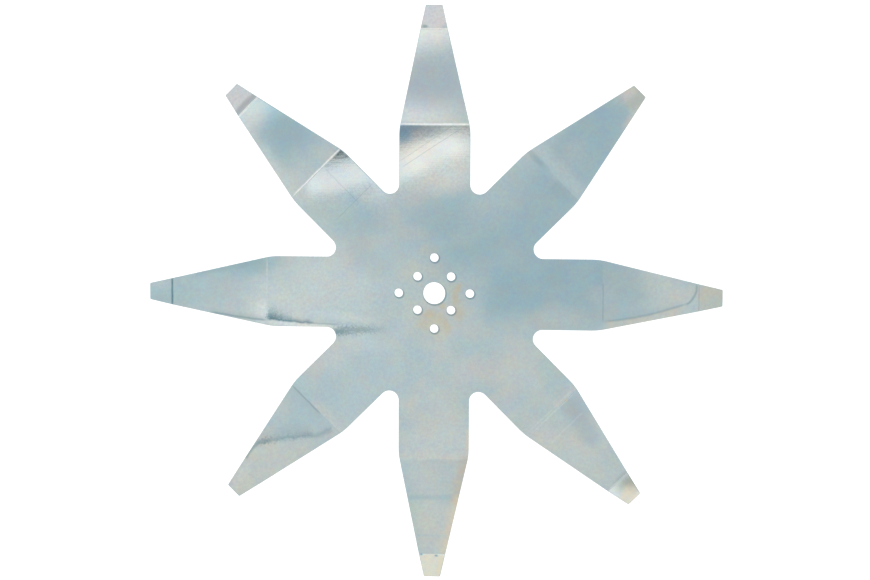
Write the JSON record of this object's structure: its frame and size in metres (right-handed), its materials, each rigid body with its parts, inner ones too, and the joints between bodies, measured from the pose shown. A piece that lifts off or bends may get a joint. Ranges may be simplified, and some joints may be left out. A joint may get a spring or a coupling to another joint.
{
  "type": "rotary mower blade",
  "caption": "One-piece star-shaped rotary mower blade of plated sheet steel, with a flat bored hub, two bolt circles and tapering arms bent up to level tips.",
  "frame": {"origin": "on the axis of the bore, in the plane of the flat underside of the hub, which is the lowest plane", "axes": "+Z along the bore, from the mounting face towards the side on which the tips stand up; +X along one arm, through one of the outer bolt holes; +Y along another arm"},
  "size_m": [0.36, 0.36, 0.0103],
  "materials": {
    "plated_steel": "bright zinc plating with a pale blue passivation, mottled, with faint drying marks and light stains"
  },
  "bodies": {
    "root": {"blade": "plated_steel"}
  },
  "joints": []
}
